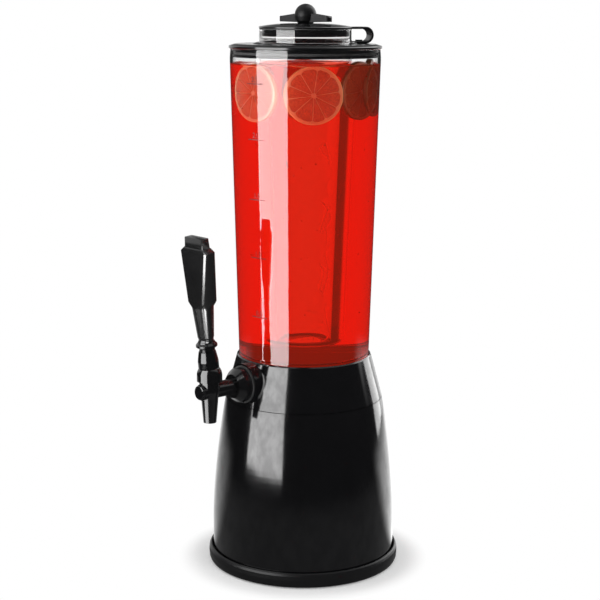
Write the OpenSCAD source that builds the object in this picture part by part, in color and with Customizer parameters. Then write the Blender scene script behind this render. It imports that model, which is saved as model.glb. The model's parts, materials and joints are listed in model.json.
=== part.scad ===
// Drink tower dispenser: a bell-shaped base on a rolled tray, a clear tapered tube with an ice tube
// hung in its lid, and a lever tap on the front. Front is -Y, the table top is z = 0.

/* [Base tray] */
// Largest radius of the tray's rolled rim
tray_r = 86.2; // [84:0.1:95]
// Height of the rim above the table
tray_rim_h = 13.6; // [10:0.1:18]
// Thickness of the tray's floor
tray_floor_t = 3.0; // [2.6:0.1:4]
// How far the rim stands out past the foot of the bell
rim_step = 4.0; // [3.4:0.1:6]
// Margin between the anti-slip disc and the recesses of the tray's screws
disc_margin = 5.3; // [1:0.1:30]
// Thickness of the anti-slip disc
disc_t = 2.2; // [1.6:0.1:2.6]
// How far the anti-slip disc lifts the tray off the table
disc_drop = 1.2; // [0.6:0.1:1.4]

/* [Bell] */
// How far the upper bell flares out from its top edge to the seam
seam_flare = 10.6; // [9.4:0.1:11.8]
// How far the bell's top edge stands out past the foot of the tube
top_lap = 1.6; // [1.4:0.1:4]
// Height of the lower bell
lower_bell_h = 148.7; // [120:0.5:190]
// Height up to which the lower bell stays straight
bell_straight_h = 36; // [20:1:60]
// How hard the lower bell curves in (exponent)
bell_curve = 1.65; // [1.3:0.05:2.2]
// Height of the upper bell
upper_bell_h = 38.6; // [38:0.1:46]
// Wall of both bells
bell_wall = 2.5; // [1.8:0.1:3]
// Width of the shadow line at the seam
seam_gap = 0.5; // [0.3:0.1:1]
// How deep the upper bell plugs into the lower one
seam_plug_h = 5.5; // [4:0.5:8]

/* [Reservoir] */
// Width of the cup's flange, on which the tube stands
flange_w = 3.3; // [3:0.1:4]
// Wall of the cup
cup_wall = 2.5; // [2:0.1:3]
// Room between the shank's lock nut and the cup's floor
cup_floor_gap = 4.5; // [3.9:0.1:6]
// Thickness of the cup's flange
cup_flange_t = 2.0; // [1.5:0.1:2.5]
// Thickness of the gasket under the tube
gasket_t = 1.5; // [1:0.1:2]

/* [Clear tube] */
// Outer radius of the tube at its foot
tube_foot_r = 58.0; // [57:0.1:58]
// Outer radius of the tube at its rim
tube_rim_r = 65.6; // [62:0.1:66]
// Height of the tube above the gasket
tube_h = 271; // [230:1:320]
// Wall of the tube
tube_wall = 2.5; // [2:0.1:3]

/* [Lid] */
// How far the lid stands out past the tube's rim
lid_lap = 0.7; // [0.5:0.1:2]
// Thickness of the lid at its middle
lid_t = 3.6; // [3:0.1:5]
// Thickness of the lid at its edge
lid_edge_t = 2.2; // [1.6:0.1:2.8]
// Depth of the skirt inside the tube
lid_skirt_h = 7.5; // [6.5:0.1:12]

/* [Ice tube] */
// Outer radius of the ice tube's mouth
mouth_r = 40.0; // [38:0.1:41]
// How far the mouth stands above the lid
mouth_rise = 12.4; // [11.6:0.1:16]
// Length of the mouth below the lid's underside
mouth_drop = 13; // [10:0.5:18]
// Outer radius just under the shoulder
ice_neck_r = 33.4; // [30:0.1:35]
// Outer radius at the closed end
ice_foot_r = 25.9; // [24:0.1:30]
// Gap from the ice tube's closed end down to the gasket
ice_foot_gap = 13; // [8:0.5:40]
// Wall of the ice tube
ice_wall = 1.6; // [1.2:0.1:2]

/* [Cap and knob] */
// How far the cap stands out past the ice tube's mouth
cap_lap = 0.3; // [0.2:0.1:1.5]
// Thickness of the flange at its edge
cap_edge_t = 1.6; // [1.2:0.1:2.2]
// Rise of the cap's top from the flange edge to the middle
cap_crown = 2.7; // [1.5:0.1:4]
// Depth of the plug below the flange
cap_plug_h = 6.9; // [5:0.1:8]
// Radius of the knob's ball
knob_r = 9.4; // [8:0.1:11]
// Height of the knob
knob_h = 16.5; // [15:0.1:20]
// Half length of the knob's wing bar
wing_l = 27; // [22:0.5:30]
// Width of the wing bar
wing_w = 7.5; // [5:0.1:9]
// Direction of the wing bar, from +X
knob_az = 13; // [0:1:180]

/* [Cap strap] */
// Direction in which the strap leaves the cap, from +X
strap_az = 72; // [30:1:150]
// Width of the strap
strap_w = 12; // [8:0.5:14]
// Thickness of the strap
strap_t = 2.0; // [1.4:0.1:2.4]
// Length of the strap from the cap's edge to its bend
strap_reach = 14.9; // [13.5:0.1:16]

/* [Tap] */
// Gap between the shank's lock nut and the ledge above it
tap_gap = 1.0; // [0.6:0.1:1.4]
// Distance of the tap's upright from the tower's axis
tap_dist = 106; // [105:0.5:112]
// Radius of the barrel
barrel_r = 7.0; // [6.8:0.1:7.4]
// Radius of the upright
upright_r = 8.9; // [8.8:0.05:9.2]
// Radius of the valve chamber
chamber_r = 5.2; // [4.9:0.05:5.3]
// Height of the lever's pivot above the tap's axis
pivot_h = 14; // [13.8:0.1:14.5]
// Radius of the lever's ball
ball_r = 7.5; // [7.3:0.05:7.6]
// Radius of the bonnet nut
bonnet_r = 10.9; // [10.7:0.05:11.5]
// Length of the spout below the tap's axis
spout_l = 27.6; // [24:0.1:34]
// Radius of the spout at its mouth
spout_r = 5.6; // [5.2:0.1:6.5]
// Radius of the spout's bore
spout_bore_r = 4.0; // [3:0.1:4.4]
// Depth of the spout's bore, up to the narrower port of the valve
spout_bore_l = 19; // [12:0.5:20]
// Radius of the round plug on the tap's front
plug_r = 6.2; // [5.8:0.1:6.8]
// Radius of the shank's thread
shank_r = 9.0; // [8.9:0.05:9.1]
// Radius of the shank's bore
shank_bore_r = 5.5; // [5.2:0.05:6]
// Corner radius of the coupling nut
nut_r = 15.7; // [14:0.1:17]

/* [Handle] */
// Lean of the closed lever, away from the tower
lever_lean = 6; // [4:0.5:8]
// Throw of the lever
lever_throw = 25; // [10:1:25]
// Width of the grip at its top
grip_top_w = 36; // [28:0.5:40]
// Width of the grip at its foot
grip_foot_w = 23; // [20:0.5:28]
// Thickness of the grip at its top
grip_top_t = 11.8; // [10:0.1:14]
// Thickness of the grip at its foot
grip_foot_t = 16; // [14:0.1:18]
// Length of the grip's tapered body
grip_l = 43.4; // [34:0.1:60]
// Length of the handle's round neck
neck_l = 27; // [24:0.1:34]

/* [Fits] */
// Gap between parts that slot together and stay put
fit_gap = 0.05; // [0.03:0.01:0.1]
// Gap between parts that slide on each other
run_gap = 0.1; // [0.08:0.01:0.12]
// Gap round parts that lift out by hand
loose_gap = 0.25; // [0.2:0.01:0.3]
// Radius of every screw's shaft
screw_r = 1.75; // [1.5:0.05:2]

/* [Hidden] */
$fn = 96;

over = 0.01;                                   // overrun of a cut past the face it opens
cut = 1;                                       // overrun of a bore past both of its ends

// Heights up the tower
floor_z = disc_drop + tray_floor_t;            // inside floor of the tray
seam_z = floor_z + lower_bell_h;
bell_top_z = seam_z + upper_bell_h;
lip_rise = 1.5;                                // how far the bell's lip laps the tube's foot
lip_h = gasket_t + cup_flange_t + lip_rise;    // bell lip round flange, gasket and tube foot
ledge_z = bell_top_z - lip_h;                  // ledge that carries the cup's flange
gasket_z = ledge_z + cup_flange_t;
tube_z = gasket_z + gasket_t;
rim_z = tube_z + tube_h;
lid_top_z = rim_z + lid_t;
mouth_z = lid_top_z + mouth_rise;
cap_seal_t = 0.7;
cap_z = mouth_z + cap_seal_t;
cap_top_z = cap_z + cap_edge_t + cap_crown;
inner_nut_r = 12.5;
tap_z = ledge_z - tap_gap - inner_nut_r;       // axis of the tap and its shank
pivot_z = tap_z + pivot_h;

// Base
bell_foot_r = tray_r - rim_step;
bell_top_r = tube_foot_r + top_lap;
bell_seam_r = bell_top_r + seam_flare;
cup_r = tube_foot_r - flange_w;
rim_lip_r = bell_foot_r + loose_gap + 0.6;     // inside of the tray's rim
tray_foot_r = tray_r - 1;
post_r = 4.6;
post_relief = 0.4;                             // keeps the posts off the floor, so the rim seats
foot_post_d = bell_foot_r - bell_wall - post_r + 1.2;
collar_post_r = 4.0;
seam_plug_t = 2.2;
collar_post_d = bell_seam_r - bell_wall - seam_plug_t - collar_post_r + 0.3;   // posts grow out of the plug
collar_post_h = 10;
screw_head_r = 3.6;
screw_head_t = 1.2;
screw_count = 4;
screw_head_gap = 0.4;                          // room round a sunk head
screw_sink = 0.3;                              // how deep the heads sit below the tray's face
screw_end_gap = 1.2;                           // room past a screw's end
tray_screw_l = 16;
collar_screw_l = 11;
foot_post_h = 22;
disc_r = foot_post_d - screw_head_r - screw_head_gap - disc_margin;
ledge_t = 2.5;

// Tube and cup
tube_spigot_w = 2.0;
tube_spigot_h = 3.8;
cup_in_r = cup_r - cup_wall;
cup_z = tap_z - inner_nut_r - cup_floor_gap - cup_wall;    // underside of the cup's floor
flange_r = tube_foot_r;
lip_r = flange_r + loose_gap;
spigot_r = cup_in_r - 0.2;

// Ice tube, its mouth and its cap
cap_r = mouth_r + cap_lap;
ice_foot_z = tube_z + ice_foot_gap;
ice_shoulder_z = rim_z - mouth_drop;
ice_shoulder_h = 10;
ice_flange_r = mouth_r + 3;
ice_flange_t = 1.5;
ice_seal_t = 1.0;
ice_bead_r = mouth_r + 0.8;
plug_out_r = mouth_r - ice_wall - 2 * loose_gap;
plug_wall = 2;
cap_relief = 0.7;                              // hollow under the cap's middle
crown_in_r = knob_r + 1;                       // flat seat of the knob
crown_steps = 6;
knob_screw_l = 12;

// Strap
strap_bend_r = cap_r + strap_reach;
strap_out_r = (cap_z + cap_edge_t - 0.3 - lid_top_z) / 2;
strap_bend_z = lid_top_z + strap_out_r;
strap_in_r = strap_out_r - strap_t;
strap_foot_l = 9.4;
strap_pin_d = strap_bend_r - strap_foot_l / 2;
strap_pin_r = 1.8;
strap_pin_head_r = 3.2;
strap_pin_head_t = 1.2;
strap_pin_tail = 0.8;

// Tap: distances are measured out from the tower's axis
boss_r = bell_top_z - 0.6 - tap_z;
boss_face = bell_seam_r - 0.7;
boss_back = cup_r + 3.8;
cup_boss_face = cup_in_r - 2.2;
outer_washer_t = 1.2;
shank_flange_t = 1.8;
shank_flange_r = 15;
inner_washer_t = 1.5;
inner_nut_t = 6;
shank_in = cup_boss_face - inner_washer_t - inner_nut_t - 2.5;
shank_flange_at = boss_face + outer_washer_t;
nut_at = shank_flange_at + shank_flange_t;
shank_out = nut_at + 4.9;
coupling_washer_t = 1.0;
body_at = shank_out + coupling_washer_t;
body_collar_t = 1.5;
body_collar_r = shank_r - 0.2;
nut_lip_at = body_at + body_collar_t + run_gap;
nut_lip_t = 2;
nut_out = nut_lip_at + nut_lip_t;
seat_under = 5.6;                              // from the pivot down to the seat's underside
seat_under_z = pivot_z - seat_under;
seat_h = 3.2;
spout_port_r = 3.2;
arm_r = 1.5;
tip_r = 2.3;
tip_play = 0.8;
tip_side = 0.2;
tip_at = tap_dist - pivot_h * sin(lever_lean);
travel = pivot_h * (sin(lever_lean + lever_throw) - sin(lever_lean));
block_wall = 1.0;
block_out = tip_at + tip_r + tip_play + block_wall;
block_in = tip_at - tip_r - tip_play - block_wall;
chamber_in = block_in - travel - 1.1;
valve_seat_t = 2.5;
valve_seat_at = chamber_in - valve_seat_t;
valve_seat_r = 3.6;
valve_washer_t = 3;
washer_at = valve_seat_at - valve_washer_t;
plunger_rod_r = 2.2;
plunger_half_w = 3.6;
plunger_head_t = 1.6;
barrel_out = max(block_out + 1, tap_dist + upright_r + 0.4);
plug_seal_t = 0.5;
plug_face = barrel_out + plug_seal_t + 2;
plug_spigot_l = barrel_out - block_out - 0.8;

// Lever and handle: heights are measured along the lever from its pivot
dome_gap = 0.3;
bonnet_skirt = 5.1;                            // bonnet nut below the pivot
bonnet_lip = 1.8;                              // from the pivot down to the upright's end
dome_in_r = bonnet_r + dome_gap;
collar_r = 8.9;
collar_z = sqrt(pow(dome_in_r, 2) - pow(collar_r, 2));
collar_top = 21.5;
lever_neck_r = 2.5;
bonnet_open = lever_lean + lever_throw + asin((lever_neck_r + dome_gap) / ball_r);
stud_r = 4.0;
stud_top = 52;
ferrule_top = collar_top + 8.9;
insert_z = ferrule_top + 4.1;
insert_l = 19.5;
insert_r = 5.2;
rings_top = ferrule_top + 3.6;
neck_top = rings_top + neck_l;
chamfer_top = neck_top + 4.7;
grip_top = chamfer_top + grip_l;
shoulder_h = 3.2;
block_w = 24.4;
block_t = 8.2;
block_h = 8.4;
neck_foot_r = 7.0;
neck_top_r = 9.2;
edge_cut = 2.2;

// Outer radius of the lower bell at height z
function bell_r(z) =
    let (from = floor_z + bell_straight_h, t = max(0, (z - from) / (seam_z - from)))
    bell_foot_r - (bell_foot_r - bell_seam_r) * pow(t, bell_curve);
// Heights at which the lower bell's curve is drawn, from the end of its straight part to the seam
bell_levels = [for (i = [0 : 24])
    let (from = floor_z + bell_straight_h) from + i * (seam_z - seam_gap - from) / 24];
// Outer radius of the upper bell at height z
function collar_bell_r(z) = bell_seam_r + (bell_top_r - bell_seam_r) * (z - seam_z) / upper_bell_h;
// Outer radius of the clear tube at height z
function tube_r(z) = tube_foot_r + (tube_rim_r - tube_foot_r) * (z - tube_z) / tube_h;

// Lid: its edge, and its skirt with a groove for the seal
lid_r = tube_rim_r + lid_lap;
skirt_wall = 2.4;
seal_h = 2;
seal_z = rim_z - lid_skirt_h + skirt_wall;
skirt_r = tube_r(rim_z - lid_skirt_h) - tube_wall - loose_gap;
groove_r = skirt_r - skirt_wall / 2;
skirt_in_r = skirt_r - skirt_wall;

black = "#161618";
soft_black = "#26262a";
silicone = "#c9ccd0";
clear = [0.86, 0.9, 0.92, 0.45];
steel = "#b9bcc0";
brass = "#b8923e";

// Shared shapes
module ring(out_r, in_r, z0, z1)
    translate([0, 0, z0]) difference() {
        cylinder(r = out_r, h = z1 - z0);
        translate([0, 0, -cut]) cylinder(r = in_r, h = z1 - z0 + 2 * cut);
    }

module along_tap(r, near, far)
    translate([0, -near, tap_z]) rotate([90, 0, 0]) cylinder(r = r, h = far - near);

module tap_ring(out_r, in_r, near, far)
    difference() {
        along_tap(out_r, near, far);
        along_tap(in_r, near - cut, far + cut);
    }

module round_about(d, z, turn = 45)
    for (i = [0 : screw_count - 1])
        rotate([0, 0, turn + i * 360 / screw_count]) translate([d, 0, z]) children();

module on_lever()
    translate([0, -tap_dist, pivot_z]) rotate([lever_lean, 0, 0]) children();

module flat_head_screw(l)
    union() {
        cylinder(r = screw_head_r, h = screw_head_t);
        cylinder(r = screw_r, h = l);
    }

// Base
module anti_slip_disc() color(soft_black) cylinder(r = disc_r, h = disc_t);

module base_tray() color(black)
    difference() {
        rotate_extrude() polygon([
            [0, disc_drop], [tray_foot_r, disc_drop], [tray_r - 0.3, disc_drop + 2],
            [tray_r, disc_drop + 0.45 * tray_rim_h], [tray_r - 0.3, tray_rim_h - 2.6],
            [tray_r - 1.1, tray_rim_h - 0.8], [tray_r - 2, tray_rim_h], [rim_lip_r + 0.3, tray_rim_h],
            [rim_lip_r, tray_rim_h - 0.4], [rim_lip_r, floor_z], [0, floor_z]]);
        translate([0, 0, -cut]) cylinder(r = disc_r + fit_gap, h = disc_t + cut);
        round_about(foot_post_d, disc_drop - over) {
            cylinder(r = screw_head_r + screw_head_gap, h = screw_sink + screw_head_t + over);
        }
        round_about(foot_post_d, disc_drop) cylinder(r = screw_r + fit_gap, h = tray_floor_t + cut);
    }

module tray_screws() color(steel)
    round_about(foot_post_d, disc_drop + screw_sink) flat_head_screw(tray_screw_l);

module lower_bell() color(black)
    difference() {
        union() {
            rotate_extrude() polygon(concat(
                [[bell_foot_r, floor_z]], [for (z = bell_levels) [bell_r(z), z]],
                [for (i = [len(bell_levels) - 1 : -1 : 0]) [bell_r(bell_levels[i]) - bell_wall,
                                                           bell_levels[i]]],
                [[bell_foot_r - bell_wall, floor_z]]));
            ring(bell_r(seam_z - 8) - bell_wall + 1.1, cup_r + 2.8,
                 seam_z - seam_plug_h - ledge_t, seam_z - seam_plug_h);
            round_about(foot_post_d, floor_z + post_relief) cylinder(r = post_r, h = foot_post_h);
        }
        round_about(foot_post_d, disc_drop)
            cylinder(r = screw_r + fit_gap, h = screw_sink + tray_screw_l + screw_end_gap);
        round_about(collar_post_d, seam_z - seam_plug_h - ledge_t - cut)
            cylinder(r = screw_r + fit_gap, h = ledge_t + 2 * cut);
    }

module collar_screws() color(steel)
    round_about(collar_post_d, seam_z - seam_plug_h - ledge_t - screw_head_t)
        flat_head_screw(collar_screw_l);

module upper_bell() color(black)
    difference() {
        union() {
            rotate_extrude() polygon([
                [bell_seam_r, seam_z], [bell_top_r + 0.4, bell_top_z - 1],
                [bell_top_r - 0.3, bell_top_z], [lip_r, bell_top_z], [lip_r, ledge_z],
                [cup_r + 0.3, ledge_z], [cup_r + 0.3, ledge_z - ledge_t],
                [collar_bell_r(ledge_z - ledge_t) - bell_wall, ledge_z - ledge_t],
                [bell_seam_r - bell_wall - 0.8, seam_z + 3],
                [bell_seam_r - bell_wall - seam_plug_t, seam_z + 3],
                [bell_seam_r - bell_wall - seam_plug_t, seam_z - seam_plug_h],
                [bell_seam_r - bell_wall - 0.2, seam_z - seam_plug_h],
                [bell_seam_r - bell_wall - 0.2, seam_z]]);
            along_tap(boss_r, boss_back, boss_face);
            round_about(collar_post_d, seam_z - seam_plug_h)
                cylinder(r = collar_post_r, h = collar_post_h + seam_plug_h);
        }
        along_tap(shank_r + run_gap, boss_back - cut, boss_face + cut);
        round_about(collar_post_d, seam_z - seam_plug_h - cut)
            cylinder(r = screw_r + fit_gap,
                     h = cut + collar_screw_l - ledge_t - screw_head_t + screw_end_gap);
    }

// Reservoir
module reservoir_cup() color(black)
    difference() {
        union() {
            ring(cup_r, cup_in_r, cup_z, gasket_z);
            ring(flange_r, cup_in_r, ledge_z, gasket_z);
            translate([0, 0, cup_z]) cylinder(r = cup_r, h = cup_wall);
            along_tap(inner_nut_r + 0.3, cup_boss_face, cup_in_r + 1);
            along_tap(shank_r + 1.8, cup_in_r + 0.5, boss_back);
        }
        along_tap(shank_r + run_gap, cup_boss_face - cut, boss_back + cut);
    }

module seat_gasket() color(soft_black) ring(flange_r - 0.1, cup_in_r, gasket_z, tube_z);

module clear_tube() color(clear)
    rotate_extrude() polygon([
        [tube_foot_r, tube_z], [tube_rim_r, rim_z - 0.6], [tube_rim_r - 0.6, rim_z],
        [tube_rim_r - tube_wall, rim_z], [tube_r(tube_z + tube_wall) - tube_wall, tube_z + tube_wall],
        [spigot_r - tube_spigot_w, tube_z + tube_wall],
        [spigot_r - tube_spigot_w, tube_z - tube_spigot_h],
        [spigot_r, tube_z - tube_spigot_h], [spigot_r, tube_z]]);

// Lid and what is fixed to it
module lid() color(black)
    difference() {
        rotate_extrude() polygon([
            [mouth_r + loose_gap, rim_z], [skirt_in_r, rim_z], [skirt_in_r, rim_z - lid_skirt_h],
            [skirt_r, rim_z - lid_skirt_h], [skirt_r, seal_z], [groove_r, seal_z],
            [groove_r, seal_z + seal_h], [skirt_r, seal_z + seal_h], [skirt_r, rim_z],
            [lid_r, rim_z], [lid_r, rim_z + lid_edge_t - 0.5], [lid_r - 0.5, rim_z + lid_edge_t],
            [lid_r - 5, lid_top_z], [mouth_r + loose_gap, lid_top_z]]);
        rotate([0, 0, strap_az]) translate([strap_pin_d, 0, rim_z - cut])
            cylinder(r = strap_pin_r + fit_gap, h = lid_t + 2 * cut);
    }

module lid_seal() color(soft_black)
    ring(tube_r(seal_z) - tube_wall - run_gap, groove_r, seal_z, seal_z + seal_h);

module strap_pin() color(black)
    rotate([0, 0, strap_az]) translate([strap_pin_d, 0, rim_z - strap_pin_tail]) union() {
        cylinder(r = strap_pin_r, h = strap_pin_tail + lid_t + strap_t + strap_pin_head_t / 3);
        translate([0, 0, strap_pin_tail + lid_t + strap_t])
            cylinder(r = strap_pin_head_r, h = strap_pin_head_t);
    }

// Ice tube: mouth, shoulder and a long taper with a closed end
module ice_tube() color(clear)
    rotate_extrude() polygon([
        [0, ice_foot_z], [ice_foot_r - 5, ice_foot_z], [ice_foot_r - 1.4, ice_foot_z + 1.4],
        [ice_foot_r, ice_foot_z + 5], [ice_neck_r, ice_shoulder_z - ice_shoulder_h],
        [mouth_r, ice_shoulder_z], [mouth_r, rim_z - ice_seal_t - ice_flange_t],
        [ice_flange_r, rim_z - ice_seal_t - ice_flange_t], [ice_flange_r, rim_z - ice_seal_t],
        [mouth_r, rim_z - ice_seal_t], [mouth_r, lid_top_z + run_gap],
        [ice_bead_r, lid_top_z + run_gap + 0.2], [ice_bead_r, lid_top_z + 0.9],
        [mouth_r, lid_top_z + 1.5], [mouth_r, mouth_z - 0.3], [mouth_r - 0.3, mouth_z],
        [mouth_r - ice_wall, mouth_z], [mouth_r - ice_wall, ice_shoulder_z + 0.6],
        [ice_neck_r - ice_wall, ice_shoulder_z - ice_shoulder_h],
        [ice_foot_r - ice_wall, ice_foot_z + 5.2],
        [ice_foot_r - 5.6, ice_foot_z + ice_wall], [0, ice_foot_z + ice_wall]]);

module ice_tube_seal() color(soft_black)
    ring(ice_flange_r - 0.2, mouth_r + fit_gap, rim_z - ice_seal_t, rim_z);

// Cap, with its plug inside the mouth and its knob on top
module ice_cap() color(black)
    difference() {
        rotate_extrude() polygon(concat(
            [[0, cap_z + cap_relief], [plug_out_r - plug_wall, cap_z + cap_relief],
             [plug_out_r - plug_wall, cap_z - cap_plug_h], [plug_out_r - 0.6, cap_z - cap_plug_h],
             [plug_out_r, cap_z - cap_plug_h + 0.8], [plug_out_r, cap_z], [cap_r - 0.3, cap_z],
             [cap_r, cap_z + 0.4], [cap_r, cap_z + cap_edge_t - 0.5]],
            [for (i = [0 : crown_steps]) let (t = 1 - i / crown_steps)
                [crown_in_r + t * (cap_r - 0.5 - crown_in_r), cap_z + cap_edge_t + cap_crown * (1 - t * t)]],
            [[0, cap_top_z]]));
        translate([0, 0, cap_z]) cylinder(r = screw_r + fit_gap, h = cap_top_z - cap_z + cut);
    }

module cap_seal() color(soft_black)
    ring(mouth_r - 0.2, plug_out_r + fit_gap, mouth_z, cap_z);

module cap_knob() color(black)
    translate([0, 0, cap_top_z]) rotate([0, 0, knob_az]) difference() {
        union() {
            rotate_extrude() polygon(concat(
                [[0, 0], [0.7 * knob_r, 0], [0.9 * knob_r, 0.13 * knob_h],
                 [knob_r, knob_h - knob_r - 1.4]],
                [for (a = [0 : 9 : 90]) [knob_r * cos(a), knob_h - knob_r + knob_r * sin(a)]]));
            intersection() {
                rotate([90, 0, 0]) linear_extrude(height = wing_w, center = true) polygon([
                    [-wing_l + 1, 1.3], [-knob_r, 0.9], [knob_r, 0.9], [wing_l - 1, 1.3],
                    [wing_l, 2.4], [wing_l, 4.6], [wing_l - 1.2, 5.8], [knob_r, 8],
                    [-knob_r, 8], [-wing_l + 1.2, 5.8], [-wing_l, 4.6], [-wing_l, 2.4]]);
                union() {
                    cube([2 * wing_l - wing_w, wing_w, 2 * knob_h], center = true);
                    for (side = [-1, 1]) translate([side * (wing_l - wing_w / 2), 0, -knob_h])
                        cylinder(d = wing_w, h = 2 * knob_h);
                }
            }
        }
        translate([0, 0, -cut])
            cylinder(r = screw_r + fit_gap,
                     h = cut + cap_z + cap_relief + knob_screw_l + screw_end_gap - cap_top_z);
    }

module knob_screw() color(steel)
    translate([0, 0, cap_z + cap_relief - screw_head_t]) flat_head_screw(knob_screw_l);

// Strap: a ribbon out of the cap's edge, round a half turn and back onto the lid
module cap_strap() color(black)
    rotate([0, 0, strap_az]) difference() {
        rotate([90, 0, 0]) linear_extrude(height = strap_w, center = true) union() {
            translate([cap_r - 2, strap_bend_z + strap_in_r]) square([strap_bend_r - cap_r + 2, strap_t]);
            translate([strap_bend_r - strap_foot_l, lid_top_z]) square([strap_foot_l, strap_t]);
            intersection() {
                translate([strap_bend_r, strap_bend_z]) difference() {
                    circle(r = strap_out_r);
                    circle(r = strap_in_r);
                }
                translate([strap_bend_r - over, lid_top_z]) square([2 * strap_out_r, 2 * strap_out_r]);
            }
        }
        translate([0, 0, lid_top_z]) cylinder(r = cap_r + fit_gap, h = 2 * strap_out_r + cut);
        translate([strap_pin_d, 0, lid_top_z - cut])
            cylinder(r = strap_pin_r + fit_gap, h = strap_t + 2 * cut);
    }

// Shank and its fastenings
module tap_shank() color(black)
    difference() {
        union() {
            along_tap(shank_r, shank_in, shank_out);
            along_tap(shank_flange_r, shank_flange_at, nut_at);
        }
        along_tap(shank_bore_r, shank_in - cut, shank_out + cut);
    }

module outer_washer() color(soft_black)
    tap_ring(shank_flange_r + 1.5, shank_r + fit_gap, boss_face, shank_flange_at);

module inner_washer() color(soft_black)
    tap_ring(inner_nut_r, shank_r + fit_gap, cup_boss_face - inner_washer_t, cup_boss_face);

module inner_lock_nut() color(black)
    difference() {
        translate([0, -(cup_boss_face - inner_washer_t - inner_nut_t), tap_z]) rotate([90, 0, 0])
            cylinder(r = inner_nut_r, h = inner_nut_t, $fn = 6);
        along_tap(shank_r + fit_gap, shank_in, cup_boss_face);
    }

module coupling_nut() color(black)
    difference() {
        intersection() {
            translate([0, -nut_at - run_gap, tap_z]) rotate([90, 0, 0]) rotate([0, 0, 22.5])
                cylinder(r = nut_r, h = nut_out - nut_at - run_gap, $fn = 8);
            translate([0, -nut_at, tap_z]) rotate([90, 0, 0]) rotate_extrude() polygon([
                [0, 0], [nut_r - 1.1, 0], [nut_r - 0.4, 0.8], [nut_r - 0.4, 3.6],
                [nut_r - 5.2, nut_out - nut_at], [0, nut_out - nut_at]]);
        }
        along_tap(shank_r + run_gap, nut_at - cut, nut_lip_at);
        along_tap(barrel_r + run_gap, nut_at, nut_out + cut);
    }

module coupling_washer() color(silicone)
    tap_ring(body_collar_r, chamber_r + 0.1, shank_out, body_at);

// Tap body: barrel, upright and spout round one valve chamber
module tap_body() color(black)
    difference() {
        union() {
            along_tap(barrel_r, body_at, barrel_out);
            along_tap(body_collar_r, body_at, body_at + body_collar_t);
            translate([0, -tap_dist, tap_z]) cylinder(r = upright_r, h = pivot_h - 2);
            translate([0, -tap_dist, tap_z - spout_l]) rotate_extrude() polygon([
                [0, 0], [spout_r, 0], [barrel_r + 0.4, spout_l - 6], [upright_r, spout_l + 0.5],
                [0, spout_l + 0.5]]);
        }
        along_tap(chamber_r, body_at - cut, valve_seat_at);
        along_tap(valve_seat_r, valve_seat_at - cut, chamber_in + cut);
        along_tap(chamber_r, chamber_in, barrel_out + cut);
        translate([0, -tap_dist, tap_z + 1]) cylinder(r = ball_r - 0.1, h = pivot_h);
        translate([0, -tap_dist, seat_under_z]) cylinder(r = ball_r + 0.2, h = pivot_h);
        translate([0, -tap_dist, tap_z - spout_l - cut]) cylinder(r = spout_bore_r, h = spout_bore_l + cut);
        translate([0, -tap_dist, tap_z - spout_l]) cylinder(r = spout_port_r, h = spout_l - 2);
    }

module front_plug() color(black)
    union() {
        along_tap(chamber_r - fit_gap, barrel_out - plug_spigot_l, barrel_out + plug_seal_t + 1);
        along_tap(plug_r, barrel_out + plug_seal_t, plug_face - 0.5);
        translate([0, -plug_face + 0.5, tap_z]) rotate([90, 0, 0])
            cylinder(r1 = plug_r, r2 = plug_r - 0.5, h = 0.5);
    }

module plug_seal() color(soft_black)
    tap_ring(plug_r, chamber_r, barrel_out, barrel_out + plug_seal_t);

module bonnet_nut() color(black)
    translate([0, -tap_dist, pivot_z]) difference() {
        union() {
            translate([0, 0, -bonnet_skirt]) cylinder(r = bonnet_r, h = bonnet_skirt);
            intersection() {
                sphere(r = bonnet_r);
                cylinder(r = bonnet_r + 1, h = bonnet_r + 1);
            }
        }
        translate([0, 0, -bonnet_skirt - cut])
            cylinder(r = upright_r + fit_gap, h = bonnet_skirt + cut - bonnet_lip);
        translate([0, 0, -3]) cylinder(r = ball_r + 0.2, h = 3);
        sphere(r = ball_r + run_gap);
        cylinder(r1 = 0, r2 = (bonnet_r + cut) * tan(bonnet_open), h = bonnet_r + cut);
    }

module ball_seat() color(silicone)
    translate([0, -tap_dist, pivot_z]) difference() {
        translate([0, 0, -seat_under]) cylinder(r = ball_r + 0.15, h = seat_h);
        translate([0, 0, -seat_under - cut]) cylinder(r = ball_r - 1.9, h = seat_h + 2 * cut);
        sphere(r = ball_r + run_gap);
    }

// Lever: ball, arm down into the plunger, collar over the bonnet and a threaded stud
module handle_lever() color(black)
    on_lever() union() {
        sphere(r = ball_r);
        translate([0, 0, -pivot_h]) cylinder(r = arm_r, h = pivot_h);
        translate([0, 0, -pivot_h]) sphere(r = tip_r);
        cylinder(r = lever_neck_r, h = dome_in_r + cut);
        difference() {
            rotate_extrude() polygon([
                [0, collar_z], [collar_r, collar_z], [collar_r, collar_z + 6],
                [collar_r - 0.4, collar_top - 6], [neck_foot_r + 0.4, collar_top], [0, collar_top]]);
            sphere(r = dome_in_r);
        }
        translate([0, 0, collar_top - cut]) cylinder(r = stud_r, h = stud_top - collar_top + cut);
    }

module ferrule() color(black)
    on_lever() rotate_extrude() polygon([
        [stud_r + fit_gap, collar_top], [6.8, collar_top], [6.8, collar_top + 2.6],
        [9.2, collar_top + 4.6], [9.2, collar_top + 6.4], [7.6, collar_top + 8],
        [7.2, ferrule_top], [stud_r + fit_gap, ferrule_top]]);

module handle_insert() color(brass)
    on_lever() ring(insert_r, stud_r + fit_gap, insert_z, insert_z + insert_l);

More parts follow.
